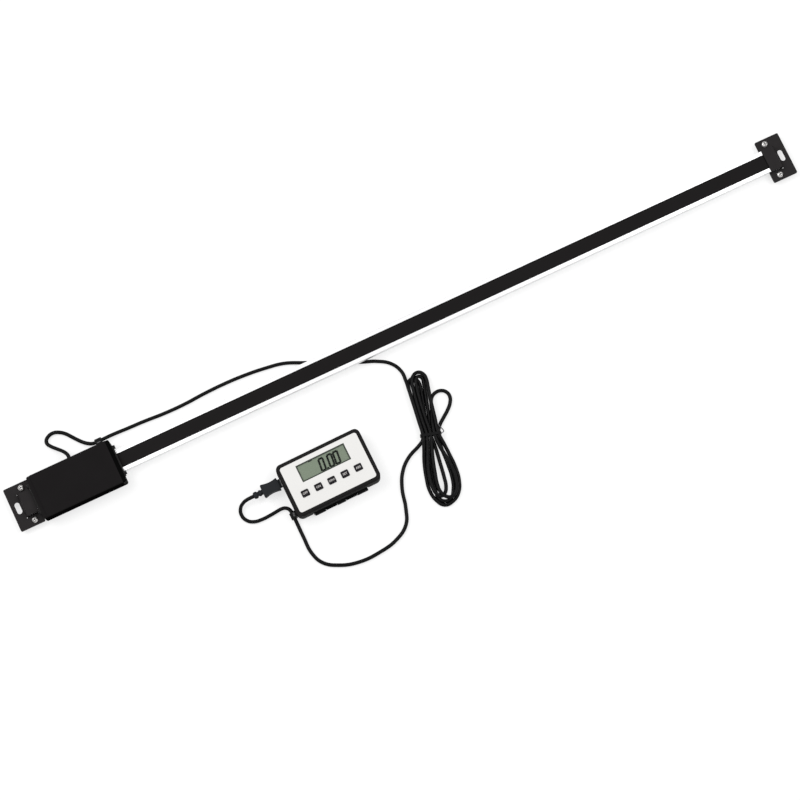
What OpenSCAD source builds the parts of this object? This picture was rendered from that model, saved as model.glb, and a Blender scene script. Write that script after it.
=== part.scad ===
/* [Beam] */
// Length of the aluminium beam
beam_l = 716; // [300:0.5:1200]
// Width of the beam
beam_w = 20; // [19:0.5:21]
// Thickness of the beam
beam_t = 5.5; // [4.5:0.1:6.5]
// Height of the beam's underside above the table
beam_z = 5; // [4.8:0.1:6]
// Width of the scale strip and of the recess that it lies in
strip_w = 12.8; // [8:0.1:14]
// Thickness of the strip's circuit board
strip_board_t = 0.7; // [0.4:0.1:1]
// Thickness of the film over the strip's circuit board
strip_film_t = 0.2; // [0.1:0.05:0.4]
// Width of the shallow relief along the beam's underside
relief_w = 14; // [8:0.5:16]
// Depth of that relief
relief_t = 0.6; // [0.2:0.1:1]

/* [End brackets] */
// Length of a bracket along the beam
bracket_l = 22.5; // [20:0.5:30]
// Width of a bracket across the beam
bracket_w = 39.5; // [38:0.5:44]
// Thickness of the bracket's sheet
bracket_t = 1.5; // [1:0.1:2]
// Radius of the bracket's corners
bracket_r = 1.2; // [0.5:0.1:3]
// Width of each slit beside the raised tongue
slit_w = 0.8; // [0.6:0.1:1.2]
// Distance from the bracket's outer edge to the closed end of a slit
slit_start = 8.9; // [8.6:0.1:9.2]
// Length of the tongue's slope, measured along the beam
joggle_run = 2.2; // [1.9:0.1:3]
// How far the tongue's tip is set back from the bracket's inner edge
tongue_setback = 1.2; // [1.2:0.1:3]
// Width of the mounting slot
slot_w = 4.5; // [4.1:0.1:4.6]
// End-to-end length of the mounting slot, across the beam
slot_l = 10.5; // [8:0.1:16]
// Distance from the bracket's outer edge to the slot's centre
slot_x = 5.8; // [5:0.1:5.9]
// Distance from the bracket's outer edge to its screws
bracket_screw_x = 14.8; // [14:0.1:16]
// Distance between the two screws of a bracket
bracket_screw_gap = 30; // [29:0.5:32]
// Thickness of the clamp plate under the beam
clamp_t = 1.5; // [1:0.1:1.6]

/* [Reading head] */
// Length of the reading head
head_l = 77; // [76:1:100]
// Width of the reading head
head_w = 39.5; // [38:0.5:44]
// Height of the reading head
head_h = 18; // [17:0.5:24]
// Thickness of the head's base plate
base_t = 3; // [2.4:0.1:3.4]
// Thickness of the cover's side walls
cover_wall = 1.8; // [1.2:0.1:2]
// Thickness of the cover's end walls
cover_end = 2; // [1.4:0.1:2.2]
// Thickness of the plastic cap on each end of the cover
cap_t = 3.4; // [2.4:0.1:3.6]
// How far a cap's top lies below the cover's top
cap_drop = 0.5; // [0:0.1:1]
// Thickness of the cover's roof
cover_roof = 2; // [1.2:0.1:2.4]
// Radius of the cover's upright corners
cover_corner_r = 2; // [1:0.1:3]
// Radius of the cover's top edges
cover_edge_r = 1; // [0.4:0.1:1.4]
// Distance from the head's end to the guide block inside it
guide_end = 14; // [13.6:0.1:17]
// Width of the guide block inside the head
guide_w = 30; // [29.6:0.1:30.4]
// Thickness of the brass gib strip
gib_t = 1.2; // [0.8:0.1:1.4]
// Space that the bowed gib spring fills
gib_spring_space = 1; // [0.8:0.1:1.1]
// Thickness of the circuit boards
board_t = 1.6; // [1:0.1:1.6]
// Thickness of a wiper plate
wiper_t = 1.1; // [0.8:0.1:1.8]
// Width of a wiper plate
wiper_w = 28; // [27:0.5:30]
// Distance between the two screws of a wiper plate
wiper_screw_gap = 24.2; // [23.6:0.1:24.4]
// Distance between the head's tapped mounting holes along the beam
mount_gap_x = 40; // [30:1:44]
// Distance between the head's tapped mounting holes across the beam
mount_gap_y = 25; // [20:1:26]
// Radius of the head's tapped mounting holes
mount_hole_r = 1.25; // [1:0.05:1.6]
// Depth of the head's tapped mounting holes
mount_hole_d = 3.8; // [3:0.1:3.9]

/* [Display] */
// Width of the display
disp_w = 79; // [77:1:100]
// Height of the display, from its bottom edge to its top edge
disp_h = 49; // [48:1:60]
// Height of the display's front above the table when it lies flat
disp_t = 18; // [18:0.5:22]
// Place of the display's centre along the beam
disp_x = 196.1; // [195.9:0.1:196.3]
// Place of the display's centre across the beam
disp_y = -86.4; // [-87:0.1:-86]
// Turn of the display against the beam
disp_turn = 1; // [0:0.5:2]
// Radius of the display's corners
disp_corner_r = 5.5; // [4.5:0.1:7]
// Radius of the display's front edges
disp_edge_r = 2; // [0.6:0.1:2]
// Thickness of the display's walls
disp_wall = 2; // [1.4:0.1:2.4]
// Height of the seam between the front frame and the rear cover
seam_z = 5.2; // [5:0.1:5.4]
// Width of the frame's lip round the face plate
lip_w = 3.3; // [2.4:0.1:3.6]
// Thickness of the face plate
face_t = 1; // [0.8:0.1:1.4]
// Width of the window over the liquid crystal glass
window_w = 45.6; // [40:0.2:50]
// Height of that window
window_h = 15.4; // [12:0.1:16]
// Place of the window's centre above the display's centre
window_y = 9.4; // [9:0.1:10]
// Thickness of the liquid crystal glass
lcd_t = 2.6; // [2:0.1:2.8]
// Diameter of the coin cell
cell_d = 20; // [16:0.5:20]
// Thickness of the coin cell
cell_t = 3.2; // [2:0.1:3.4]
// Radius of a holding magnet
magnet_r = 4.2; // [3:0.1:4.2]
// Thickness of a holding magnet
magnet_t = 2; // [1:0.1:2.4]

/* [Buttons] */
// Width of a button
button_w = 6.3; // [5:0.1:8]
// Height of a button, along the display's height
button_h = 5.5; // [4:0.1:7]
// Distance from one button to the next
button_pitch = 12.5; // [10:0.1:13]
// Place of the buttons' row above the display's centre
button_y = -7.5; // [-8:0.1:-6]
// How far a button stands out of the face plate
button_rise = 0.9; // [0.5:0.1:1.4]
// How far a button can be pressed
button_travel = 0.4; // [0.2:0.05:0.6]

/* [Stand] */
// Distance from the display's side to the folding stand
stand_side = 14.5; // [12.6:0.1:18]
// Length of the stand's plate under the display
stand_l = 28; // [20:1:32]
// Thickness of the stand's plate
stand_t = 1.4; // [1:0.1:1.6]
// Height of the hinge pin above the table
hinge_z = 3; // [2.8:0.05:3.1]
// Distance from the display's centre down to the hinge pin
hinge_y = 24.8; // [24.6:0.1:26]
// Outer radius of the hinge knuckles
knuckle_r = 1.9; // [1.6:0.05:1.95]
// Radius of the hinge pin
pin_r = 0.8; // [0.5:0.05:1]

/* [Cord] */
// Diameter of the cord
cord_d = 3.3; // [3:0.1:3.3]
// Height of the cord where it leaves the reading head
gland_z = 8.5; // [8:0.1:9]
// Place along the beam where the cord leaves the reading head
gland_x = 1.5; // [1:0.1:2]
// Thickness of the wall of a cord clip's loop
clip_wall = 1; // [0.6:0.1:1]
// Distance from the head's wall to the middle of the cord in its clip
clip_reach = 4.2; // [4.1:0.1:4.3]
// Distance from the display's wall to the middle of the cord in its clip
disp_clip_reach = 2.8; // [2.8:0.1:2.9]
// Height of the cord in the head's clip
clip_z = 5; // [4.9:0.1:5.1]
// Height of the cord in the display's clip
disp_clip_z = 2.9; // [2.8:0.1:3]
// Length of a clip along the cord
clip_l = 6; // [5:0.5:7]
// Length of the plug's body
plug_l = 15.5; // [14.5:0.1:16.5]
// Width of the plug's body
plug_w = 12; // [10:0.1:13]
// Thickness of the plug's body
plug_t = 7.6; // [6:0.1:8]
// Height of the hank
hank_h = 6.8; // [6.6:0.1:7.4]

/* [Fasteners] */
// Shank radius of the bracket screws
m3_r = 1.5; // [1.4:0.05:1.6]
// Head radius of the bracket screws
m3_head_r = 2.75; // [2.4:0.05:3]
// Head height of the bracket screws
m3_head_h = 2.2; // [1.6:0.1:2.4]
// Shank radius of the small case screws
m2_r = 1; // [0.8:0.05:1.1]
// Head radius of the small case screws
m2_head_r = 1.9; // [1.6:0.05:2]

/* [Clearances] */
// Gap between the beam and the parts that guide it
slide_gap = 0.15; // [0.1:0.01:0.3]
// Gap between the beam or the strip and what passes over it
sense_gap = 0.4; // [0.3:0.05:0.6]
// Gap between the head and a bracket at the end of travel
end_gap = 0.3; // [0.2:0.05:0.6]
// Gap round pieces that move against a housing
move_gap = 0.3; // [0.25:0.01:0.4]
// Gap round pieces that are dropped into a pocket
seat_gap = 0.1; // [0.05:0.01:0.2]
// Gap between a pin and the knuckle that turns on it
pin_gap = 0.05; // [0.02:0.01:0.08]

/* [Hidden] */
$fn = 48;
eps = 0.01;
cord_r = cord_d / 2;

// Beam and strip
beam_top = beam_z + beam_t;
strip_t = strip_board_t + strip_film_t;
beam_chamfer = 0.4;

// Brackets: x runs inwards from the outer edge
tongue_over = 0.3;
tongue_w = beam_w + 2 * tongue_over;
joggle_h = beam_t;
joggle_angle = atan(joggle_h / joggle_run);
joggle_shift = bracket_t * tan(joggle_angle / 2);
beam_inset = slit_start + joggle_run + joggle_shift + seat_gap;
bracket_x_left = -(head_l / 2 + end_gap + bracket_l);
beam_x = bracket_x_left + beam_inset;
bracket_x_right = beam_x + beam_l + beam_inset;
clamp_margin = 0.5;
clamp_start = slot_x + slot_w / 2 + 1.8;
clamp_end = bracket_l - clamp_margin;

// Reading head
guide_l = head_l - 2 * guide_end;
channel_far = beam_w / 2 + slide_gap;
channel_near = channel_far + gib_t + gib_spring_space;
channel_z = 4.2;
pad_l = 14;
pad_w = 18;
pad_x = guide_l / 2 - pad_l / 2 - 1;
reader_z = beam_top + sense_gap;
reader_l = guide_l - 2;
reader_w = guide_w - 0.4;
reader_screw_x = reader_l / 2 - 3;
reader_screw_y = reader_w / 2 - 1.3;
reader_screw_r = 0.75;
reader_screw_l = 4;
gib_l = guide_l - 4;
gib_top = reader_z - 0.3;
gib_spring_t = 0.3;
post_r = 2.8;
cover_l = head_l - 2 * cap_t;
post_x = cover_l / 2 - cover_end - post_r - 1.7;
post_y = head_w / 2 - cover_wall - post_r - 0.7;
post_hole_top = head_h - 5;
head_screw_l = post_hole_top - 3;
beam_door_w = beam_w + 2 * sense_gap;
cap_edge_r = 1.6;
wiper_low = beam_z + bracket_t + 0.7;
wiper_top = head_h - 2.5;
wiper_screw_z = wiper_top - 2.4;
wiper_head_r = 1.7;
wiper_head_h = 1.5;
wiper_screw_r = 0.9;
gland_hole_r = 2.5;
gland_lip_r = 3.2;
gland_lip_t = 0.6;
gland_nose_l = 0.9;
gland_tail_t = 0.7;
clip_screw_z = 10.5;
clip_screw_r = 1.2;
clip_tab_top = 14;
clip_tab_t = 1.4;
clip_head_r = 2;
clip_head_h = 1.4;
head_clip_x = head_l / 2 - 8.5;

// Display: every height is measured from the table
cover_z = 0.3;
floor_t = 3.3;
floor_z = cover_z + floor_t;
recess_z = stand_t + move_gap;
face_z = disp_t - face_t - seat_gap;
ledge_w = lip_w - disp_wall + 2;
ledge_t = 1.5;
inner_r = disp_corner_r - disp_wall;
case_screw_x = disp_w / 2 - 4.6;
case_screw_y = disp_h / 2 - 4.6;
boss_r = 2.4;
boss_hole_top = disp_t - 5.8;
case_screw_l = boss_hole_top - 2;
board_post_r = 1.8;
lcd_border = 1;
lcd_z = face_z - lcd_t;
zebra_w = 2;
zebra_h = 2.6;
board_z = lcd_z - zebra_h - board_t;
board_top = board_z + board_t;
board_post_x = disp_w / 4;
board_post_y = disp_h / 3;
button_r = 0.9;
button_top = disp_t + button_rise;
flange_t = 1.2;
flange_rim = 0.7;
flange_top = face_z - seat_gap;
button_low = flange_top - flange_t;
dome_top = button_low - button_travel - seat_gap;
key_mat_t = 0.6;
key_mat_w = 4 * button_pitch + 10;
key_mat_h = button_h + 3;
socket_y = 11;
socket_w = 8.6;
socket_h = 4.4;
socket_l = 8;
socket_wall = 0.5;
socket_z = board_z - socket_h;
cell_x = 8;
cell_y = -6;
cell_wall = 1.2;
door_t = 1.2;
door_r = cell_d / 2;
cell_z = recess_z + door_t + seat_gap;
magnet_x = disp_w / 2 - magnet_r - 2;
magnet_y = 2;
stand_w = disp_w - 2 * stand_side;
knuckle_l = stand_w / 5;
mid_knuckle_l = 8;
knuckles = [
    [-stand_w / 2, knuckle_l - stand_w / 2], [-mid_knuckle_l / 2, mid_knuckle_l / 2],
    [stand_w / 2 - knuckle_l, stand_w / 2]
];
knuckle_gap = 0.3;
stand_near = -hinge_y + knuckle_r + 0.5;
notch_y = stand_near - 0.2;
pin_head_t = 0.8;
notch_half = stand_w / 2 + pin_head_t + move_gap;
hinge_wall_t = 1.8;
disp_clip_y = -18.5;

// Plug: x runs along the plug towards the display's wall
plug_z = socket_z + socket_h / 2;
plug_gap = 2.2;
plug_x = -disp_w / 2 - plug_gap - plug_l;
plug_waist_r = 22;
plug_waist_in = 1.4;
neck_w = 7.6;
neck_t = 4.8;
tip_w = socket_w - 2 * socket_wall - 0.4;
tip_h = socket_h - 2 * socket_wall - 0.4;
tip_l = 6;
relief_l = 8.3;

// Route of the cord from the reading head to the hank
head_route = [
    [1.5, 21.25, 8.5], [1.3, 23.2, 8.3], [-0.4, 25.7, 7], [-1.9, 29, 5.6], [-4.9, 33.2, 3.8],
    [-8.9, 37.8, 2.5], [-10.9, 41.2, 1.8], [-10.5, 44.2, 1.7], [-7.5, 46.8, 1.7],
    [-2.6, 47.8, 1.7], [2.4, 46.1, 1.7], [6.7, 42.8, 1.7], [10.4, 38.2, 1.7], [14, 33.5, 1.7],
    [17.8, 29.2, 1.9], [21.4, 26.2, 2.8], [24.6, 24.4, 4.3], [27, 23.95, 5], [30, 23.95, 5],
    [33, 23.95, 5], [36.6, 24.2, 4.3], [43.4, 24.6, 2.4], [56.5, 24.2, 1.7], [72.5, 23.7, 1.7],
    [90.5, 22.6, 1.7], [109.5, 22.5, 1.7], [129.5, 23.7, 1.7], [148.5, 24.1, 1.7],
    [167.5, 23.4, 1.7], [186.5, 21.4, 1.7], [202.5, 18.4, 1.7], [216.5, 12.4, 1.7],
    [232.5, 4.6, 1.7], [248.5, -2.6, 1.7], [263.5, -9.1, 1.7], [276.6, -14.6, 1.7],
    [286.2, -21.5, 1.7], [291.1, -31, 1.7], [292.1, -43, 1.7], [289.5, -56, 1.9],
    [287.5, -62, 2.1]
];
// Route of the cord from the hank to the display's hinge line
lead_route = [
    [283, -93, 2.1], [275.6, -96, 1.8], [264.7, -101.9, 1.7], [254.9, -110.8, 1.7],
    [248.2, -123.6, 1.7], [243.7, -140.7, 1.7], [237.8, -153.4, 1.7], [225.4, -161.4, 1.7],
    [207.6, -165.2, 1.7], [187.5, -165.2, 1.7], [171.2, -160.3, 1.7], [159.6, -152.3, 1.7],
    [154.8, -141.2, 1.7], [154.2, -126.2, 1.7], [154.2, -113.4, 2.2]
];
// Route of the cord from the hinge line to the plug, measured from the display's centre
tail_route = [
    [-42.3, -24.8, 2.4], [-42.3, -23.2, 2.7], [-42.3, -21.5, 2.9], [-42.3, -18.5, 2.9],
    [-42.3, -15.5, 2.9], [-43.2, -11.7, 2.7], [-45.6, -9.3, 2.3], [-48.9, -8.4, 1.9],
    [-53, -8.6, 1.7], [-59.6, -9.1, 1.7], [-67.6, -9.2, 1.7], [-74.6, -8, 1.7],
    [-79.8, -4.2, 1.7], [-81.8, 1.8, 2.1], [-79.9, 7.4, 3.4], [-75.4, 10.4, 5.4], [-71.6, 11, 7],
    [-68.4, 11, 7.8], [-65.5, 11, 7.9]
];
cord_sides = 8;
hank_place = [290.2, -92.2, 0];
hank_turn = -15.7;
hank_w = 16.2;
hank_top_l = 62;
hank_bow_r = 14.6;
hank_foot_r = 9;
tie_l = 2.4;
tie_t = 0.8;
tie_w = hank_w + 2.2;

// ---- Shapes that several pieces share ----

module rounded_rect(w, h, r) {
    square([w - 2 * r, h], center = true);
    square([w, h - 2 * r], center = true);
    for (x = [-1, 1], y = [-1, 1])
        translate([x * (w / 2 - r), y * (h / 2 - r)]) circle(r);
}

// Outline of a block's side, flat at the bottom and rounded at its two top corners
module crown(w, t, r) {
    translate([-w / 2, 0]) square([w, t - r]);
    translate([-w / 2 + r, 0]) square([w - 2 * r, t]);
    for (x = [-1, 1]) translate([x * (w / 2 - r), t - r]) circle(r);
}

// Block with rounded upright corners and rounded top edges
module crowned_block(w, h, t, corner_r, edge_r) {
    intersection() {
        linear_extrude(t) rounded_rect(w, h, corner_r);
        translate([0, h / 2, 0]) rotate([90, 0, 0]) linear_extrude(h) crown(w, t, edge_r);
        translate([-w / 2, 0, 0]) rotate([90, 0, 90]) linear_extrude(w) crown(h, t, edge_r);
    }
}

// Pan-head screw with a cross recess, head upwards, seated at z = 0
module pan_screw(shank_r, shank_l, head_r, head_h) {
    recess_d = head_h * 0.6;
    difference() {
        rotate_extrude() polygon([
            [0, -shank_l], [shank_r, -shank_l], [shank_r, 0], [head_r, 0],
            [head_r, head_h * 0.45], [head_r * 0.82, head_h * 0.82],
            [head_r * 0.5, head_h], [0, head_h]
        ]);
        for (turn = [0, 90])
            rotate(turn) translate([-head_r * 0.55, -head_r * 0.13, head_h - recess_d])
                cube([head_r * 1.1, head_r * 0.26, recess_d + eps]);
    }
}

// Countersunk screw seen from below: its flat head is at z = 0 and its shank goes up
module flat_screw(shank_r, shank_l, head_r) {
    cone_h = head_r - shank_r;
    difference() {
        rotate_extrude() polygon([
            [0, 0], [head_r, 0], [shank_r, cone_h], [shank_r, shank_l], [0, shank_l]
        ]);
        for (turn = [0, 90])
            rotate(turn) translate([-head_r * 0.5, -head_r * 0.12, -eps])
                cube([head_r, head_r * 0.24, cone_h * 0.7 + eps]);
    }
}

module flat_screw_hole(shank_r, shank_l, head_r) {
    gap_r = shank_r + seat_gap;
    wide_r = head_r + seat_gap;
    rotate_extrude() polygon([
        [0, -1], [wide_r, -1], [wide_r, 0], [gap_r, wide_r - gap_r],
        [gap_r, shank_l], [0, shank_l]
    ]);
}

// Nylon clip on a wall: the wall is y = 0, the cord runs along x through the loop
module wall_clip(reach, z) {
    loop_r = cord_r + seat_gap + clip_wall;
    difference() {
        union() {
            translate([-clip_l / 2, reach, z]) rotate([0, 90, 0]) cylinder(r = loop_r, h = clip_l);
            translate([-clip_l / 2, 0, z]) cube([clip_l, reach, loop_r]);
            translate([0, clip_tab_t, z]) rotate([90, 0, 0]) linear_extrude(clip_tab_t)
                clip_tab(clip_tab_top - z);
        }
        translate([-clip_l / 2 - 1, reach, z]) rotate([0, 90, 0])
            cylinder(r = cord_r + seat_gap, h = clip_l + 2);
        translate([0, -1, clip_screw_z]) rotate([-90, 0, 0])
            cylinder(r = clip_screw_r + seat_gap, h = clip_tab_t + 2);
    }
}

module clip_tab(tab_h) {
    translate([-clip_l / 2, 0]) square([clip_l, tab_h - clip_l / 2]);
    translate([0, tab_h - clip_l / 2]) circle(clip_l / 2);
}

module wall_clip_screw(shank_l) {
    translate([0, clip_tab_t, clip_screw_z]) rotate([-90, 0, 0])
        pan_screw(clip_screw_r, clip_tab_t + shank_l, clip_head_r, clip_head_h);
}

// ---- Places ----

// Left end as drawn, right end mirrored: x = 0 is the bracket's outer edge
module at_left_end() {
    translate([bracket_x_left, 0, 0]) children();
}

module at_right_end() {
    translate([bracket_x_right, 0, 0]) mirror([1, 0, 0]) children();
}

module at_display() {
    translate([disp_x, disp_y, 0]) rotate([0, 0, disp_turn]) children();
}

module at_head_clip() {
    translate([head_clip_x, head_w / 2, 0]) children();
}

module at_display_clip() {
    translate([-disp_w / 2, disp_clip_y, 0]) rotate([0, 0, 90]) children();
}

module at_each(points) {
    for (p = points) translate(p) children();
}

function four(x, y, z) = [for (sx = [-1, 1], sy = [-1, 1]) [sx * x, sy * y, z]];

// ---- Scale ----

module beam() {
    half = beam_w / 2;
    color([0.86, 0.87, 0.88]) difference() {
        translate([beam_x, 0, beam_z]) rotate([90, 0, 90]) linear_extrude(beam_l) polygon([
            [-half + beam_chamfer, 0], [half - beam_chamfer, 0], [half, beam_chamfer],
            [half, beam_t - beam_chamfer], [half - beam_chamfer, beam_t],
            [-half + beam_chamfer, beam_t], [-half, beam_t - beam_chamfer], [-half, beam_chamfer]
        ]);
        translate([beam_x - 1, -strip_w / 2 - seat_gap, beam_top - strip_t])
            cube([beam_l + 2, strip_w + 2 * seat_gap, strip_t + 1]);
        translate([beam_x - 1, -relief_w / 2, beam_z - 1]) cube([beam_l + 2, relief_w, relief_t + 1]);
    }
}

module strip_board() {
    color([0.12, 0.2, 0.14]) translate([beam_x, -strip_w / 2, beam_top - strip_t])
        cube([beam_l, strip_w, strip_board_t]);
}

module strip_film() {
    color([0.07, 0.07, 0.07]) translate([beam_x, -strip_w / 2, beam_top - strip_film_t])
        cube([beam_l, strip_w, strip_film_t]);
}

// Stamped end bracket: two flat flanges and a tongue that is joggled up over the beam
module bracket() {
    slit_out = tongue_w / 2 + slit_w;
    tongue_tip = bracket_l - tongue_setback;
    rise_end = slit_start + joggle_run;
    color([0.17, 0.17, 0.18]) difference() {
        union() {
            translate([bracket_l / 2, 0, beam_z]) linear_extrude(bracket_t) difference() {
                rounded_rect(bracket_l, bracket_w, bracket_r);
                translate([slit_start - bracket_l / 2, -slit_out]) square([bracket_l, 2 * slit_out]);
            }
            translate([0, tongue_w / 2, beam_z]) rotate([90, 0, 0]) linear_extrude(tongue_w) polygon([
                [slit_start - 1, 0], [slit_start + joggle_shift, 0],
                [rise_end + joggle_shift, joggle_h], [tongue_tip, joggle_h],
                [tongue_tip, joggle_h + bracket_t], [rise_end, joggle_h + bracket_t],
                [slit_start, bracket_t], [slit_start - 1, bracket_t]
            ]);
        }
        translate([slot_x, 0, beam_z - 1]) linear_extrude(bracket_t + 2)
            rounded_rect(slot_w, slot_l, slot_w / 2 - eps);
        for (y = [-1, 1]) translate([bracket_screw_x, y * bracket_screw_gap / 2, beam_z - 1])
            cylinder(r = m3_r + 2 * seat_gap, h = bracket_t + 2);
    }
}

module left_bracket() {
    at_left_end() bracket();
}

module right_bracket() {
    at_right_end() bracket();
}

module clamp() {
    color([0.2, 0.2, 0.21]) translate([0, 0, beam_z - clamp_t]) linear_extrude(clamp_t) difference() {
        translate([(clamp_start + clamp_end) / 2, 0])
            rounded_rect(clamp_end - clamp_start, bracket_w - 2 * clamp_margin, bracket_r);
        for (y = [-1, 1]) translate([bracket_screw_x, y * bracket_screw_gap / 2]) circle(m3_r + seat_gap);
    }
}

module left_clamp() {
    at_left_end() clamp();
}

module right_clamp() {
    at_right_end() clamp();
}

module bracket_screw_pair() {
    for (y = [-1, 1])
        translate([bracket_screw_x, y * bracket_screw_gap / 2, beam_z + bracket_t])
            pan_screw(m3_r, bracket_t + clamp_t, m3_head_r, m3_head_h);
}

module bracket_screws() {
    color([0.75, 0.75, 0.76]) {
        at_left_end() bracket_screw_pair();
        at_right_end() bracket_screw_pair();
    }
}

// ---- Reading head ----

// Base plate with the guide block that the beam runs through
module head_base() {
    color([0.1, 0.1, 0.1]) difference() {
        union() {
            linear_extrude(base_t) rounded_rect(head_l, head_w, cover_corner_r);
            translate([-guide_l / 2, -guide_w / 2, base_t - 1])
                cube([guide_l, guide_w, reader_z - base_t + 1]);
        }
        translate([-guide_l / 2 - 1, -channel_near, channel_z])
            cube([guide_l + 2, channel_near + channel_far, reader_z]);
        at_each(four(post_x, post_y, 0)) flat_screw_hole(m2_r + seat_gap, base_t + 1, m2_head_r + 0.5);
        at_each(four(mount_gap_x / 2, mount_gap_y / 2, -1)) cylinder(r = mount_hole_r, h = mount_hole_d + 1);
        at_each(four(reader_screw_x, reader_screw_y, reader_z - reader_screw_l))
            cylinder(r = reader_screw_r + seat_gap, h = reader_screw_l + 1);
    }
}

module head_cover() {
    inner_h = head_h - base_t - cover_roof;
    color([0.13, 0.13, 0.13]) difference() {
        union() {
            difference() {
                translate([-cover_l / 2, 0, base_t]) rotate([90, 0, 90])
                    linear_extrude(cover_l) crown(head_w, head_h - base_t, cover_edge_r);
                translate([-cover_l / 2 + cover_end, -head_w / 2 + cover_wall, base_t - 1])
                    cube([cover_l - 2 * cover_end, head_w - 2 * cover_wall, inner_h + 1]);
            }
            at_each(four(post_x, post_y, base_t)) cylinder(r = post_r, h = inner_h + 1);
        }
        translate([-cover_l / 2 - 1, -beam_door_w / 2, base_t - 1])
            cube([cover_l + 2, beam_door_w, reader_z - base_t + 1]);
        at_each(four(post_x, post_y, base_t - 1))
            cylinder(r = m2_r + 2 * seat_gap, h = post_hole_top - base_t + 1);
        translate([gland_x, head_w / 2 - cover_wall - 1, gland_z]) rotate([-90, 0, 0])
            cylinder(r = gland_hole_r, h = cover_wall + 2);
        translate([head_clip_x, head_w / 2 - cover_wall - 1, clip_screw_z]) rotate([-90, 0, 0])
            cylinder(r = clip_screw_r + seat_gap, h = cover_wall + 2);
        for (y = [-1, 1]) translate([-cover_l / 2 - 1, y * wiper_screw_gap / 2, wiper_screw_z])
            rotate([0, 90, 0]) cylinder(r = wiper_screw_r + seat_gap, h = cover_l + 2);
    }
}

// Moulded end cap with the opening for the beam
module cap() {
    color([0.05, 0.05, 0.05]) translate([cover_l / 2, 0, base_t]) difference() {
        intersection() {
            rotate([90, 0, 90]) linear_extrude(cap_t)
                crown(head_w, head_h - base_t - cap_drop, cap_edge_r);
            translate([cap_t - cover_l / 2, 0, -1]) linear_extrude(head_h)
                rounded_rect(cover_l, head_w, cover_corner_r);
        }
        translate([-1, -beam_door_w / 2, -1]) cube([cap_t + 2, beam_door_w, reader_z - base_t + 1]);
        for (y = [-1, 1]) translate([-1, y * wiper_screw_gap / 2, wiper_screw_z - base_t])
            rotate([0, 90, 0]) cylinder(r = wiper_screw_r + seat_gap, h = cap_t + 2);
    }
}

module right_cap() {
    cap();
}

module left_cap() {
    mirror([1, 0, 0]) cap();
}

module guide_pads() {
    color([0.92, 0.91, 0.86]) for (x = [-1, 1])
        translate([x * pad_x - pad_l / 2, -pad_w / 2, channel_z])
            cube([pad_l, pad_w, beam_z - slide_gap - channel_z]);
}

module gib_strip() {
    color([0.8, 0.65, 0.3]) translate([-gib_l / 2, -channel_far - gib_t, channel_z])
        cube([gib_l, gib_t, gib_top - channel_z]);
}

// Bowed leaf: its middle presses on the gib and its ends on the guide block's wall
module gib_spring() {
    near = -channel_near;
    far = -channel_far - gib_t;
    half = gib_l / 2 - 4;
    flat = 3;
    color([0.75, 0.5, 0.3]) translate([0, 0, channel_z])
        linear_extrude(gib_top - channel_z) polygon([
            [-half, near], [-half + flat, near], [-flat, far - gib_spring_t], [flat, far - gib_spring_t],
            [half - flat, near], [half, near], [half, near + gib_spring_t],
            [half - flat, near + gib_spring_t], [flat, far], [-flat, far],
            [-half + flat, near + gib_spring_t], [-half, near + gib_spring_t]
        ]);
}

module reader_board() {
    top = reader_z + board_t;
    color([0.1, 0.35, 0.2]) difference() {
        union() {
            translate([-reader_l / 2, -reader_w / 2, reader_z]) cube([reader_l, reader_w, board_t]);
            translate([-12, -4, top - eps]) cube([9, 9, 1.2]);
            translate([2, -3, top - eps]) cube([5, 4, 1]);
            translate([-1, 8, top - eps]) cube([8, 4, 2]);
        }
        at_each(four(reader_screw_x, reader_screw_y, reader_z - 1))
            cylinder(r = reader_screw_r + seat_gap, h = board_t + 2);
    }
}

module reader_screws() {
    color([0.7, 0.7, 0.7]) at_each(four(reader_screw_x, reader_screw_y, reader_z + board_t))
        pan_screw(reader_screw_r, board_t + reader_screw_l - 1, 1.4, 1);
}

// Wiper plate on the outside of an end wall, open round the beam
module wiper() {
    color([0.16, 0.16, 0.16]) difference() {
        translate([head_l / 2, 0, wiper_low]) rotate([90, 0, 90]) linear_extrude(wiper_t) difference() {
            crown(wiper_w, wiper_top - wiper_low, 1.5);
            translate([-beam_door_w / 2, -1]) square([beam_door_w, reader_z - wiper_low + 1]);
        }
        for (y = [-1, 1]) translate([head_l / 2 - 1, y * wiper_screw_gap / 2, wiper_screw_z])
            rotate([0, 90, 0]) cylinder(r = wiper_screw_r + seat_gap, h = wiper_t + 2);
    }
}

module right_wiper() {
    wiper();
}

module left_wiper() {
    mirror([1, 0, 0]) wiper();
}

module wiper_screws() {
    shank_l = wiper_t + cap_t + cover_end;
    color([0.08, 0.08, 0.08]) for (side = [0, 1], y = [-1, 1]) mirror([side, 0, 0])
        translate([head_l / 2 + wiper_t, y * wiper_screw_gap / 2, wiper_screw_z]) rotate([0, 90, 0])
            difference() {
                union() {
                    cylinder(r = wiper_head_r, h = wiper_head_h);
                    translate([0, 0, -shank_l]) cylinder(r = wiper_screw_r, h = shank_l + eps);
                }
                translate([0, 0, wiper_head_h / 2]) cylinder(r = 0.9, h = wiper_head_h, $fn = 6);
            }
}

module head_screws() {
    color([0.3, 0.3, 0.3]) at_each(four(post_x, post_y, 0.1))
        flat_screw(m2_r + seat_gap, head_screw_l, m2_head_r + 0.5);
}

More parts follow.
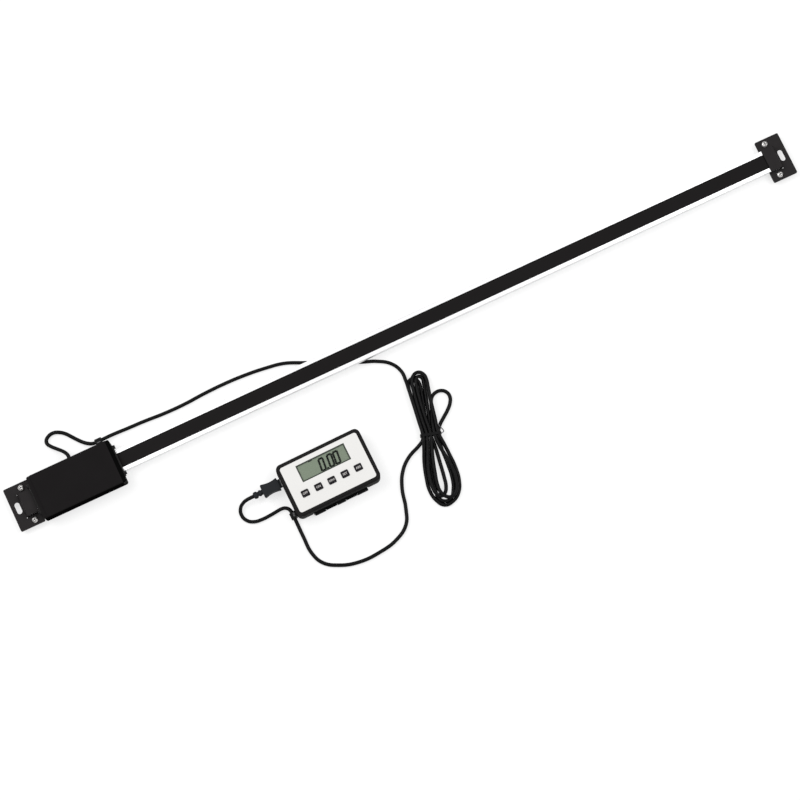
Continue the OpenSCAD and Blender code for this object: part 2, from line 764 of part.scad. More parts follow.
// Rubber gland: an inner lip, the wall of the cover, an outer lip and a nose that holds the cord
module cord_gland() {
    wall = cover_wall;
    color([0.06, 0.06, 0.06]) translate([gland_x, head_w / 2 - wall, gland_z]) rotate([-90, 0, 0])
        rotate_extrude() polygon([
            [0, -gland_tail_t], [gland_lip_r, -gland_tail_t], [gland_lip_r, 0], [gland_hole_r, 0],
            [gland_hole_r, wall], [gland_lip_r, wall], [gland_lip_r, wall + gland_lip_t],
            [cord_r + 1, wall + gland_lip_t], [cord_r + 0.5, wall + gland_lip_t + gland_nose_l],
            [0, wall + gland_lip_t + gland_nose_l]
        ]);
}

module head_clip() {
    color([0.07, 0.07, 0.07]) at_head_clip() wall_clip(clip_reach, clip_z);
}

module head_clip_screw() {
    color([0.78, 0.78, 0.79]) at_head_clip() wall_clip_screw(cover_wall);
}

// ---- Display ----

module button_holes(gap, h) {
    for (i = [-2:2]) translate([i * button_pitch, button_y, 0])
        linear_extrude(h) rounded_rect(button_w + 2 * gap, button_h + 2 * gap, button_r);
}

module display_frame() {
    inner_w = disp_w - 2 * disp_wall;
    inner_h = disp_h - 2 * disp_wall;
    face_w = disp_w - 2 * lip_w;
    face_h = disp_h - 2 * lip_w;
    ledge_z = face_z - ledge_t;
    color([0.12, 0.12, 0.13]) at_display() difference() {
        union() {
            difference() {
                translate([0, 0, seam_z])
                    crowned_block(disp_w, disp_h, disp_t - seam_z, disp_corner_r, disp_edge_r);
                translate([0, 0, seam_z - 1])
                    linear_extrude(ledge_z - seam_z + 1) rounded_rect(inner_w, inner_h, inner_r);
            }
            at_each(four(case_screw_x, case_screw_y, seam_z)) cylinder(r = boss_r, h = ledge_z - seam_z + 1);
        }
        translate([0, 0, ledge_z - 1]) linear_extrude(disp_t)
            rounded_rect(inner_w - 2 * ledge_w, inner_h - 2 * ledge_w, inner_r);
        translate([0, 0, face_z]) linear_extrude(disp_t)
            rounded_rect(face_w, face_h, disp_corner_r - lip_w);
        at_each(four(case_screw_x, case_screw_y, seam_z - 1))
            cylinder(r = m2_r + seat_gap, h = boss_hole_top - seam_z + 1);
        translate([-disp_w / 2 - 1, socket_y - socket_w / 2 - seat_gap, socket_z - seat_gap])
            cube([disp_wall + 2, socket_w + 2 * seat_gap, socket_h + 2 * seat_gap]);
        at_display_clip() translate([0, -disp_wall - 1, clip_screw_z]) rotate([-90, 0, 0])
            cylinder(r = clip_screw_r + seat_gap, h = disp_wall + 2);
    }
}

module face_plate() {
    face_w = disp_w - 2 * lip_w - 2 * seat_gap;
    face_h = disp_h - 2 * lip_w - 2 * seat_gap;
    color([0.93, 0.93, 0.91]) at_display() translate([0, 0, face_z]) difference() {
        linear_extrude(face_t) rounded_rect(face_w, face_h, disp_corner_r - lip_w);
        translate([-window_w / 2, window_y - window_h / 2, -1]) cube([window_w, window_h, face_t + 2]);
        translate([0, 0, -1]) button_holes(move_gap, face_t + 2);
    }
}

module lcd_window() {
    color([0.75, 0.8, 0.75, 0.4]) at_display()
        translate([-window_w / 2 + seat_gap, window_y - window_h / 2 + seat_gap, face_z])
            cube([window_w - 2 * seat_gap, window_h - 2 * seat_gap, face_t - seat_gap]);
}

module lcd_glass() {
    color([0.52, 0.58, 0.5]) at_display()
        translate([-window_w / 2 - lcd_border, window_y - window_h / 2 - lcd_border, lcd_z])
            cube([window_w + 2 * lcd_border, window_h + 2 * lcd_border, lcd_t]);
}

module lcd_connectors() {
    far = window_h / 2 + lcd_border - zebra_w;
    color([0.75, 0.45, 0.5]) at_display() for (y = [window_y + far, window_y - far - zebra_w])
        translate([-window_w / 2, y, board_top]) cube([window_w, zebra_w, lcd_z - board_top]);
}

module display_board() {
    w = disp_w - 2 * disp_wall - 2 * move_gap;
    h = disp_h - 2 * disp_wall - 2 * move_gap;
    color([0.1, 0.35, 0.2]) at_display() difference() {
        union() {
            translate([0, 0, board_z]) linear_extrude(board_t) rounded_rect(w, h, 1);
            translate([16, -2, board_z - 1.2]) cube([8, 8, 1.2 + eps]);
        }
        for (x = [-1, 1], y = [-1, 1]) translate([x * w / 2, y * h / 2, board_z + board_t / 2])
            cube([w - 2 * (case_screw_x - boss_r - move_gap), h - 2 * (case_screw_y - boss_r - move_gap),
                board_t + 2], center = true);
    }
}

// Silicone mat with one hollow-looking dome under each button
module key_mat() {
    color([0.85, 0.85, 0.85]) at_display() {
        translate([-key_mat_w / 2, button_y - key_mat_h / 2, board_top])
            cube([key_mat_w, key_mat_h, key_mat_t]);
        for (i = [-2:2]) translate([i * button_pitch, button_y, board_top + key_mat_t - eps])
            cylinder(r1 = 2.6, r2 = 1.6, h = dome_top - board_top - key_mat_t);
    }
}

module button(i) {
    color([0.2, 0.2, 0.22]) at_display() translate([(i - 3) * button_pitch, button_y, 0]) {
        translate([0, 0, flange_top - eps]) crowned_block(button_w, button_h, button_top - flange_top,
            button_r, 0.4);
        translate([0, 0, button_low])
            linear_extrude(flange_t)
                rounded_rect(button_w + 2 * flange_rim, button_h + 2 * flange_rim, button_r);
    }
}

module button_1() {
    button(1);
}

module button_2() {
    button(2);
}

module button_3() {
    button(3);
}

module button_4() {
    button(4);
}

module button_5() {
    button(5);
}

module cord_socket() {
    x = -disp_w / 2 + 0.4;
    color([0.75, 0.75, 0.76]) at_display() difference() {
        translate([x, socket_y - socket_w / 2, socket_z]) cube([socket_l, socket_w, socket_h]);
        translate([x - 1, socket_y - socket_w / 2 + socket_wall, socket_z + socket_wall])
            cube([socket_l - socket_wall + 1, socket_w - 2 * socket_wall, socket_h - 2 * socket_wall]);
    }
}

module hinge_lug(x0, x1) {
    len = x1 - x0;
    translate([x0, -hinge_y, hinge_z]) rotate([0, 90, 0]) cylinder(r = knuckle_r, h = len);
    translate([x0, -hinge_y, recess_z]) cube([len, hinge_y + notch_y + 1, hinge_z + knuckle_r - recess_z]);
}

// Shallow tray with a recess for the folded stand and two hinge lugs at its bottom edge
module rear_cover() {
    inner_w = disp_w - 2 * disp_wall;
    inner_h = disp_h - 2 * disp_wall;
    color([0.1, 0.1, 0.11]) at_display() difference() {
        union() {
            difference() {
                translate([0, 0, cover_z]) linear_extrude(seam_z - cover_z)
                    rounded_rect(disp_w, disp_h, disp_corner_r);
                translate([0, 0, floor_z]) linear_extrude(seam_z) rounded_rect(inner_w, inner_h, inner_r);
                translate([-notch_half, -disp_h / 2 - 1, cover_z - 1])
                    cube([2 * notch_half, notch_y + disp_h / 2 + 1, seam_z + 2]);
            }
            translate([-notch_half - 1, notch_y, cover_z])
                cube([2 * notch_half + 2, hinge_wall_t, seam_z - cover_z]);
            translate([cell_x, cell_y, floor_z - 1]) cylinder(r = door_r + seat_gap + cell_wall,
                h = cell_z + cell_t - floor_z + 1);
            at_each(four(board_post_x, board_post_y, floor_z - 1))
                cylinder(r = board_post_r, h = board_z - floor_z + 1);
            at_each(four(case_screw_x, case_screw_y, floor_z - 1))
                cylinder(r = boss_r, h = seam_z - floor_z + 1);
            for (i = [0, 1]) hinge_lug(knuckles[i][1] + knuckle_gap, knuckles[i + 1][0] - knuckle_gap);
        }
        translate([-notch_half, notch_y - 1, cover_z - 1])
            cube([2 * notch_half, stand_near + stand_l + move_gap - notch_y + 1, recess_z - cover_z + 1]);
        translate([cell_x, cell_y, cover_z - 1]) cylinder(r = door_r + seat_gap, h = 3 * cell_t);
        at_each(four(case_screw_x, case_screw_y, cover_z)) flat_screw_hole(m2_r, seam_z, m2_head_r);
        for (x = [-1, 1]) translate([x * magnet_x, magnet_y, cover_z - 1])
            cylinder(r = magnet_r + seat_gap, h = magnet_t + 1);
        translate([-stand_w / 2, -hinge_y, hinge_z]) rotate([0, 90, 0])
            cylinder(r = pin_r + pin_gap, h = stand_w);
    }
}

module case_screws() {
    color([0.6, 0.6, 0.62]) at_display() at_each(four(case_screw_x, case_screw_y, cover_z))
        flat_screw(m2_r, case_screw_l, m2_head_r);
}

module coin_cell() {
    rim = 0.5;
    r = cell_d / 2 - seat_gap;
    color([0.78, 0.78, 0.8]) at_display() translate([cell_x, cell_y, cell_z]) rotate_extrude() polygon([
        [0, 0], [r - 1.2, 0], [r - 1, rim], [r, rim], [r, cell_t - 0.2], [r - 0.3, cell_t], [0, cell_t]
    ]);
}

// Sprung strip from the top of the coin cell up to the circuit board
module battery_contact() {
    low = cell_z + cell_t;
    high = board_z;
    t = 0.3;
    color([0.8, 0.75, 0.55]) at_display() translate([cell_x, cell_y + 2, 0]) rotate([90, 0, 0])
        linear_extrude(4) polygon([
            [-6, low], [0, low], [5, high - t], [9, high - t], [9, high], [4.8, high],
            [-0.2, low + t], [-6, low + t]
        ]);
}

module battery_door() {
    color([0.1, 0.1, 0.11]) at_display() translate([cell_x, cell_y, recess_z]) difference() {
        cylinder(r = door_r, h = door_t);
        translate([-5, -0.6, -1]) cube([10, 1.2, 1.5]);
    }
}

module magnets() {
    color([0.6, 0.6, 0.62]) at_display() for (x = [-1, 1])
        translate([x * magnet_x, magnet_y, cover_z]) cylinder(r = magnet_r, h = magnet_t - seat_gap);
}

// Folding stand: a plate under the display and three knuckles on the hinge pin
module stand() {
    far = stand_near + stand_l;
    round_r = 4;
    color([0.08, 0.08, 0.08]) at_display() difference() {
        union() {
            linear_extrude(stand_t) difference() {
                union() {
                    translate([-stand_w / 2, stand_near]) square([stand_w, stand_l - round_r]);
                    translate([0, far - round_r]) rounded_rect(stand_w, 2 * round_r, round_r - eps);
                }
                translate([0, stand_near + stand_l * 0.55]) rounded_rect(stand_w * 0.56, stand_l * 0.4, 2);
            }
            for (k = knuckles) {
                translate([k[0], -hinge_y, hinge_z]) rotate([0, 90, 0])
                    cylinder(r = knuckle_r, h = k[1] - k[0]);
                translate([k[0], -hinge_y - knuckle_r, 0])
                    cube([k[1] - k[0], stand_near + hinge_y + knuckle_r + 1, stand_t]);
                translate([k[0], -hinge_y - knuckle_r, 0]) cube([k[1] - k[0], 2 * knuckle_r, hinge_z]);
            }
        }
        translate([-stand_w, -hinge_y, hinge_z]) rotate([0, 90, 0])
            cylinder(r = pin_r + pin_gap / 2, h = 2 * stand_w);
    }
}

module stand_pin() {
    color([0.5, 0.5, 0.52]) at_display() translate([-stand_w / 2 - pin_head_t, -hinge_y, hinge_z])
        rotate([0, 90, 0]) {
        cylinder(r = pin_r, h = stand_w + pin_head_t);
        cylinder(r = pin_r + 0.5, h = pin_head_t);
    }
}

module display_clip() {
    color([0.07, 0.07, 0.07]) at_display() at_display_clip() wall_clip(disp_clip_reach, disp_clip_z);
}

module display_clip_screw() {
    color([0.78, 0.78, 0.79]) at_display() at_display_clip() wall_clip_screw(disp_wall);
}

// ---- Cord ----

function unit(v) = v / norm(v);

// A point on the smooth curve between points i and i + 1, at share s
function curve_at(p, i, s) =
    let (a = p[max(i - 1, 0)], b = p[i], c = p[i + 1], d = p[min(i + 2, len(p) - 1)])
    b + s * (c - a) / 2 + s * s * (a - 2.5 * b + 2 * c - d / 2) + s * s * s * (1.5 * (b - c) + (d - a) / 2);

function halved(p) = [
    for (i = [0:len(p) - 2]) each (norm(p[i + 1] - p[i]) > 12 ? [p[i], curve_at(p, i, 0.5)] : [p[i]]),
    p[len(p) - 1]
];

// Ring of corners round point i, square to the route, its first corner level
function ring(p, i) =
    let (t = unit(p[min(i + 1, len(p) - 1)] - p[max(i - 1, 0)]),
        side = unit(cross(t, [0, 0, 1])), up = cross(side, t))
    [for (k = [0:cord_sides - 1])
        let (turn = 360 * (k + 0.5) / cord_sides)
        p[i] + cord_r * (cos(turn) * side + sin(turn) * up)];

module cord_tube(route) {
    p = halved(route);
    n = len(p);
    corners = [for (i = [0:n - 1]) each ring(p, i)];
    walls = [for (i = [0:n - 2], k = [0:cord_sides - 1])
        let (m = (k + 1) % cord_sides, a = i * cord_sides, b = a + cord_sides)
        [a + k, a + m, b + m, b + k]];
    first = [for (k = [0:cord_sides - 1]) cord_sides - 1 - k];
    last = [for (k = [0:cord_sides - 1]) (n - 1) * cord_sides + k];
    polyhedron(corners, concat(walls, [first, last]));
}

module cord_head() {
    color([0.06, 0.06, 0.06]) cord_tube(head_route);
}

module cord_lead() {
    color([0.06, 0.06, 0.06]) cord_tube(lead_route);
}

module cord_tail() {
    color([0.06, 0.06, 0.06]) at_display() cord_tube(tail_route);
}

module at_hank() {
    translate(hank_place) rotate([0, 0, hank_turn]) children();
}

// Band round the hank, along the hank's length y
module tie_band(inner) {
    t = inner ? tie_t : 0;
    translate([-tie_w / 2 + t, -tie_l / 2 - t, t])
        cube([tie_w - 2 * t, tie_l + 2 * t, hank_h + tie_t - 2 * t]);
}

module tie_ring() {
    difference() {
        tie_band(false);
        tie_band(true);
    }
}

// Outer shape of the tied hank: a straight bundle above the tie and an open bow below it
module hank() {
    color([0.05, 0.05, 0.05]) at_hank() difference() {
        union() {
            translate([-0.2, 26, 0]) linear_extrude(hank_h)
                rounded_rect(hank_w, hank_top_l, hank_w / 2 - 0.7);
            linear_extrude(hank_h) polygon([[-7.6, -3], [7.2, -3], [17.4, -43], [-10.4, -43]]);
            translate([3.5, -43, 0]) cylinder(r = hank_bow_r, h = hank_h);
            translate([1.5, -54.5, 0]) cylinder(r = hank_foot_r, h = hank_h);
        }
        tie_ring();
    }
}

module cord_tie() {
    color([0.04, 0.04, 0.04]) at_hank() tie_ring();
}

// Moulded plug body with a waist, its neck and the beaded strain relief
module plug() {
    waist_y = plug_w / 2 + plug_waist_r - plug_waist_in;
    color([0.15, 0.15, 0.16]) at_display() translate([0, socket_y, plug_z]) {
        intersection() {
            translate([plug_x, 0, -plug_t / 2]) linear_extrude(plug_t) difference() {
                translate([plug_l / 2, 0]) rounded_rect(plug_l, plug_w, 1.6);
                for (y = [-1, 1]) translate([plug_l * 0.55, y * waist_y]) circle(plug_waist_r);
            }
            translate([plug_x - 1, 0, 0]) rotate([90, 0, 90]) linear_extrude(plug_l + 2)
                rounded_rect(plug_w, plug_t, 1.5);
        }
        translate([plug_x + plug_l - eps, 0, 0]) rotate([90, 0, 90])
            linear_extrude(plug_gap - 0.2 + eps) rounded_rect(neck_w, neck_t, 1.2);
        translate([plug_x - relief_l, 0, 0]) rotate([0, 90, 0]) rotate_extrude() polygon([
            [0, 0], [cord_r + 0.5, 0], [cord_r + 1.3, 0.7], [cord_r + 1.5, 2.6], [cord_r + 1, 3.6],
            [cord_r + 0.4, 3.8], [cord_r + 0.4, 4.9], [cord_r + 1, 5.1], [cord_r + 1.1, 6.8],
            [cord_r + 0.6, 7], [cord_r + 0.6, relief_l + 0.5], [0, relief_l + 0.5]
        ]);
    }
}

module plug_tip() {
    x = -disp_w / 2 - 0.2;
    color([0.78, 0.78, 0.79]) at_display()
        translate([x, socket_y - tip_w / 2, plug_z - tip_h / 2]) cube([tip_l, tip_w, tip_h]);
}

beam();
strip_board();
strip_film();
left_bracket();
right_bracket();
left_clamp();
right_clamp();
bracket_screws();
head_base();
head_cover();
left_cap();
right_cap();
guide_pads();
gib_strip();
gib_spring();
reader_board();
reader_screws();
left_wiper();
right_wiper();
wiper_screws();
head_screws();
cord_gland();
head_clip();
head_clip_screw();
display_frame();
face_plate();
lcd_window();
lcd_glass();
lcd_connectors();
display_board();
key_mat();
button_1();
button_2();
button_3();
button_4();
button_5();
cord_socket();
rear_cover();
case_screws();
coin_cell();
battery_contact();
battery_door();
magnets();
stand();
stand_pin();
display_clip();
display_clip_screw();
cord_head();
hank();
cord_tie();
cord_lead();
cord_tail();
plug();
plug_tip();
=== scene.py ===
import bmesh
import bpy
import math
from mathutils import Matrix, Vector


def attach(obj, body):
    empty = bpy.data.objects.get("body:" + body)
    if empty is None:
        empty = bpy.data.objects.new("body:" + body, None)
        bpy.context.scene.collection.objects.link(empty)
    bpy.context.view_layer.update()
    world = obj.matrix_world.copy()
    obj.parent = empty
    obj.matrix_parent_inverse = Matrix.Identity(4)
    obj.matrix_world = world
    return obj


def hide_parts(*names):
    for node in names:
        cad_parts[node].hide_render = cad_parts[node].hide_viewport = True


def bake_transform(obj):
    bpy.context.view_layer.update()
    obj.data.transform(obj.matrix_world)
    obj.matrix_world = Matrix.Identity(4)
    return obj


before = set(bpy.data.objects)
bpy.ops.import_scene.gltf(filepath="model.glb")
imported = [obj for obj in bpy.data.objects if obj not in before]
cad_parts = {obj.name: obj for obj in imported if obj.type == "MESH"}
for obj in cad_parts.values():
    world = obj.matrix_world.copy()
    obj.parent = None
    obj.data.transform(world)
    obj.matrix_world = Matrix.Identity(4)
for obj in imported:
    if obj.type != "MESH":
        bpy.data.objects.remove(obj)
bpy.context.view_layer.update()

# ---- Aluminium beam ----
# An anodised aluminium extrusion, sawn to length. Its bands beside the strip keep the fine
# lines of the drawing die, and everything else on the scale is fixed to it.


class Nodes:
    """A node tree, and the one way in which nodes are added to it."""

    def __init__(self, tree):
        self.tree = tree

    def feed(self, socket, value):
        if isinstance(value, Signal):
            self.tree.links.new(value.socket, socket)
        else:
            socket.default_value = value

    def node(self, kind, settings, sockets, output=0):
        made = self.tree.nodes.new(kind)
        for key, value in settings.items():
            setattr(made, key, value)
        for key, value in sockets.items():
            self.feed(made.inputs[key], value)
        return Signal(self, made.outputs[output])


class Signal:
    """An output of a node that takes part in Python sums."""

    def __init__(self, nodes, socket):
        self.nodes, self.socket = nodes, socket

    def maths(self, operation, other):
        return self.nodes.node("ShaderNodeMath", {"operation": operation}, {0: self, 1: other})

    def __add__(self, other):
        return self.maths("ADD", other)

    def __mul__(self, other):
        return self.maths("MULTIPLY", other)

    __radd__, __rmul__ = __add__, __mul__


class Finish(Nodes):
    """A material of one Principled shader and the nodes that feed it."""

    def __init__(self, name, colour, roughness, metallic=0.0, specular=0.5):
        self.material = bpy.data.materials.new(name)
        self.material.use_nodes = True
        super().__init__(self.material.node_tree)
        self.shader = self.tree.nodes["Principled BSDF"]
        self.colour = colour
        self.set("Base Color", (*colour, 1))
        self.set("Roughness", roughness)
        self.set("Metallic", metallic)
        self.set("Specular IOR Level", specular)

    def set(self, name, value):
        self.feed(self.shader.inputs[name], value)

    def noise(self, size, stretch=(1, 1, 1), detail=2.0):
        """Soft noise whose marks are about size metres across."""
        where = self.node("ShaderNodeTexCoord", {}, {}, "Object")
        spread = self.node("ShaderNodeMapping", {}, {"Vector": where, "Scale": stretch})
        return self.node("ShaderNodeTexNoise", {},
                         {"Vector": spread, "Scale": 1 / size, "Detail": detail})

    def bump(self, height, depth, strength=1.0):
        """Raises the surface by up to depth metres where the height says."""
        self.set("Normal", self.node("ShaderNodeBump", {},
                                     {"Strength": strength, "Distance": depth, "Height": height}))

    def mottle(self, share, size=0.012):
        """Lets the colour drift by a small share, as in any real batch."""
        low = [c * (1 - share) for c in self.colour]
        high = [min(1, c * (1 + share)) for c in self.colour]
        factor, first, second, mixed_colour = 0, 6, 7, 2
        self.set("Base Color", self.node(
            "ShaderNodeMix", {"data_type": "RGBA"},
            {factor: self.noise(size), first: (*low, 1), second: (*high, 1)}, mixed_colour))


def dress(finish, *nodes):
    """Gives CAD nodes their finish."""
    for name in nodes:
        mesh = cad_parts[name].data
        mesh.materials.clear()
        mesh.materials.append(finish.material)


anodised = Finish("anodised_aluminium", (0.78, 0.78, 0.785), 0.3, metallic=1.0)
draw_lines = anodised.noise(0.0004, (0.01, 1, 1), 3.0)
anodised.mottle(0.03, 0.03)
anodised.set("Roughness", 0.26 + 0.14 * draw_lines)
anodised.bump(draw_lines, 0.00002, 0.5)
dress(anodised, "beam")

# ---- Scale strip ----
# A long circuit board with the copper pattern of the scale lies in the beam's recess, and a
# black satin film is glued over it, so that nothing of the pattern shows.

solder_mask = Finish("solder_mask", (0.02, 0.09, 0.04), 0.35)
solder_mask.mottle(0.15, 0.004)
strip_film = Finish("strip_film", (0.0098, 0.0088, 0.009), 0.5, specular=0.05)
strip_film.mottle(0.12, 0.05)
strip_film.bump(strip_film.noise(0.0006, detail=3.0), 0.00001, 0.4)
dress(solder_mask, "strip_board")
dress(strip_film, "strip_film")

# ---- End brackets ----
# Stamped sheet steel with a joggled tongue over the beam, a clamp plate below and two screws
# that pull both together. Brackets and plates are powder coated with a fine texture, and the
# screws' cross recesses carry painted shade.

powder_coat = Finish("powder_coat", (0.0215, 0.0195, 0.02), 0.65, specular=0.08)
coat_grain = powder_coat.noise(0.0005, detail=4.0)
powder_coat.mottle(0.2, 0.008)
powder_coat.set("Roughness", 0.55 + 0.2 * coat_grain)
powder_coat.bump(coat_grain, 0.00006, 0.6)
dress(powder_coat, "left_bracket", "right_bracket", "left_clamp", "right_clamp")

bright_steel = Finish("bright_steel", (0.5, 0.49, 0.48), 0.22, metallic=1.0)
turning = bright_steel.noise(0.0003, detail=3.0)
bright_steel.mottle(0.5, 0.0008)
bright_steel.set("Roughness", 0.16 + 0.2 * turning)
bright_steel.bump(turning, 0.00001, 0.5)
dress(bright_steel, "bracket_screws")
# Painted shade: the faces inside each screw's cross recess get this dark steel.
recess_shade = Finish("recess_shade", (0.03, 0.028, 0.027), 0.5, metallic=1.0)
recess_shade.mottle(0.3, 0.001)
left_screws_x, right_screws_x, screws_y = -0.0465, 0.66433, 0.015
recess_wide, recess_deep, top_skin = 0.0032, 0.0015, 0.00002
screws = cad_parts["bracket_screws"].data
screws.materials.append(recess_shade.material)
screw_top = max(v.co.z for v in screws.vertices)
for face in screws.polygons:
    on_left = face.center.x < (left_screws_x + right_screws_x) / 2
    axis = Vector((left_screws_x if on_left else right_screws_x,
                   math.copysign(screws_y, face.center.y)))
    reach = (face.center.to_2d() - axis).length
    depth = screw_top - face.center.z
    if reach < recess_wide / 2 and top_skin < depth < recess_deep:
        face.material_index = 1

# ---- Reading head ----
# A die-cast base with the guide block, under an extruded cover with a moulded cap on each end.
# Base, cover and left cap have a fine black coat with painted shade on their upright sides, and
# the right cap is black plastic darkened further with painted shade.

wall_tilt = 0.3


def shade_walls(finish, *nodes):
    """Gives the upright faces of CAD nodes a second, darker finish: painted shade."""
    for name in nodes:
        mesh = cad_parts[name].data
        mesh.materials.append(finish.material)
        for face in mesh.polygons:
            if abs(face.normal.z) < wall_tilt:
                face.material_index = 1


head_coat = Finish("head_coat", (0.0112, 0.0101, 0.0105), 0.7, specular=0.04)
head_grain = head_coat.noise(0.00035, detail=4.0)
head_coat.mottle(0.12, 0.02)
head_coat.set("Roughness", 0.64 + 0.16 * head_grain)
head_coat.bump(head_grain, 0.00003, 0.5)
# The right cap is darker than the left one with painted shade.
cap_plastic = Finish("cap_plastic", (0.0024, 0.0024, 0.0024), 0.6, specular=0.01)
cap_plastic.mottle(0.2, 0.005)
cap_plastic.bump(cap_plastic.noise(0.0004), 0.00002, 0.4)
dress(head_coat, "head_base", "head_cover", "left_cap")
dress(cap_plastic, "right_cap")
# Painted shade for the upright faces of base, cover and left cap.
painted_side_shade = Finish("painted_side_shade", (0.005, 0.0046, 0.0048), 0.75, specular=0.0)
painted_side_shade.mottle(0.12, 0.02)
shade_walls(painted_side_shade, "head_base", "head_cover", "left_cap")

# ---- Guides, sensor board and wipers ----
# Acetal pads, a brass gib and its bronze leaf guide the head on the beam, and four small screws
# hold the sensor board over the strip. Black socket-head screws hold the wiper plates.

acetal = Finish("acetal", (0.8, 0.79, 0.74), 0.4)
acetal.mottle(0.04)
brass = Finish("brass", (0.75, 0.56, 0.24), 0.3, metallic=1.0)
brass.mottle(0.1, 0.006)
bronze = Finish("spring_bronze", (0.7, 0.44, 0.24), 0.3, metallic=1.0)
bronze.mottle(0.1, 0.006)
wiper_fibre = Finish("wiper_fibre", (0.022, 0.021, 0.021), 0.7, specular=0.15)
wiper_fibre.mottle(0.25, 0.002)
wiper_fibre.bump(wiper_fibre.noise(0.0003, detail=4.0), 0.00008, 0.7)
black_oxide = Finish("black_oxide", (0.004, 0.004, 0.0045), 0.45, specular=0.15)
black_oxide.mottle(0.3, 0.001)
dress(acetal, "guide_pads")
dress(brass, "gib_strip")
dress(bronze, "gib_spring")
dress(solder_mask, "reader_board")
dress(bright_steel, "reader_screws")
dress(wiper_fibre, "left_wiper", "right_wiper")
dress(black_oxide, "wiper_screws", "head_screws")

# ---- Display case ----
# A moulded front frame and a rear cover of black plastic, joined by four screws from behind.
# The white face plate lies in the frame's ledge. The rear cover's black is darker than the
# frame's, partly as painted shade, and the frame's upright walls get it as painted shade.

shell = Finish("display_shell", (0.0115, 0.0108, 0.0108), 0.6, specular=0.07)
shell.mottle(0.15, 0.01)
shell.bump(shell.noise(0.0004, detail=4.0), 0.00004, 0.5)
face_sheet = Finish("face_sheet", (0.86, 0.85, 0.83), 0.45, specular=0.3)
face_sheet.mottle(0.015, 0.02)
face_sheet.bump(face_sheet.noise(0.0005), 0.00001, 0.3)
# Darker black for the rear cover, partly painted shade, and painted shade on the frame's walls.
rear_black_and_wall_shade = Finish("rear_black_and_wall_shade", (0.0028, 0.0028, 0.0028), 0.6, specular=0.03)
rear_black_and_wall_shade.mottle(0.15, 0.01)
rear_black_and_wall_shade.bump(rear_black_and_wall_shade.noise(0.0004, detail=4.0), 0.00004, 0.5)
dress(shell, "display_frame")
shade_walls(rear_black_and_wall_shade, "display_frame")
dress(rear_black_and_wall_shade, "rear_cover", "battery_door")
dress(black_oxide, "case_screws")
dress(face_sheet, "face_plate")

# ---- Liquid crystal display ----
# A glass cell behind a clear window in the face plate, joined to its board by striped rubber
# connectors. It shows 0.00 in slanted seven-segment figures, with a short dash at its upper
# edge, and a dark ring of painted shade lines the window's edge.

display_turn = math.radians(1.0)
display_centre = Vector((0.1961, -0.0864, 0))
at_display = Matrix.Translation(display_centre) @ Matrix.Rotation(display_turn, 4, "Z")
sharp_from = math.radians(35)


def lay_out(name, data):
    """Puts a mesh, curve, text, lamp or camera into the scene."""
    obj = bpy.data.objects.new(name, data)
    bpy.context.collection.objects.link(obj)
    return obj


def piece(name, bm, finish, body, slot, *replaced):
    """Makes a bmesh a finished piece on a body."""
    mesh = bpy.data.meshes.new(name)
    bm.to_mesh(mesh)
    bm.free()
    mesh.materials.append(finish.material)
    for face in mesh.polygons:
        face.use_smooth = True
    mesh.set_sharp_from_angle(angle=sharp_from)
    obj = lay_out(name, mesh)
    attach(obj, body)
    if replaced:
        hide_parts(*replaced)


lcd_cell = Finish("lcd_cell", (0.232, 0.28, 0.208), 0.5, specular=0.05)
lcd_cell.mottle(0.05, 0.03)
dress(lcd_cell, "lcd_glass")
silicone_stripe = Finish("connector_rubber", (0.5, 0.2, 0.25), 0.6)
silicone_stripe.mottle(0.1, 0.001)
dress(silicone_stripe, "lcd_connectors")

lcd_ink = Finish("lcd_figures", (0.0008, 0.001, 0.0008), 0.8, specular=0.0)
lcd_ink.mottle(0.2, 0.002)
glass_top = Vector((0, 0.0094, 0.0169))
figure_tall, figure_wide, stroke, ink_thick = 0.0121, 0.0038, 0.0017, 0.00012
slant = math.tan(math.radians(6))
figures_x, figures_y = (-0.0013, 0.0067, 0.0124), -0.0008
point_x, point_y = 0.0025, -0.006
dash_x, dash_y, dash_long = -0.0104, 0.0068, 0.0039
lap = stroke * 0.1


def stroke_bar(bm, x, y, length, standing=False):
    """One stroke of a figure with a point at each end, flat on the glass."""
    ring = bmesh.ops.create_circle(bm, cap_ends=True, segments=6,
                                   radius=stroke / 2 / math.cos(math.pi / 6),
                                   matrix=Matrix.Rotation(math.pi / 2, 4, "Z"))["verts"]
    for side in (-1, 1):
        end = [v for v in ring if v.co.x * side > stroke / 1000]
        bmesh.ops.translate(bm, vec=(side * (length - stroke) / 2, 0, 0), verts=end)
    if standing:
        bmesh.ops.rotate(bm, matrix=Matrix.Rotation(math.pi / 2, 3, "Z"), verts=ring)
    bmesh.ops.translate(bm, vec=(x, y, 0), verts=ring)


figures = bmesh.new()
half = figure_tall / 2 - stroke / 2
for x in figures_x:
    for side in (-1, 1):
        stroke_bar(figures, x, figures_y + side * half, figure_wide + lap)
        for level in (-1, 1):
            stroke_bar(figures, x + side * figure_wide / 2, figures_y + level * half / 2,
                       half + lap, standing=True)
stroke_bar(figures, point_x, point_y, stroke + lap)
stroke_bar(figures, dash_x, dash_y, dash_long)
for vertex in figures.verts:
    vertex.co.x += vertex.co.y * slant
raised = bmesh.ops.extrude_face_region(figures, geom=list(figures.faces))["geom"]
bmesh.ops.translate(figures, vec=(0, 0, ink_thick),
                    verts=[g for g in raised if isinstance(g, bmesh.types.BMVert)])
bmesh.ops.recalc_face_normals(figures, faces=figures.faces)
bmesh.ops.transform(figures, matrix=at_display @ Matrix.Translation(glass_top),
                    verts=figures.verts)
piece("lcd_figures", figures, lcd_ink, "display", "lcd")

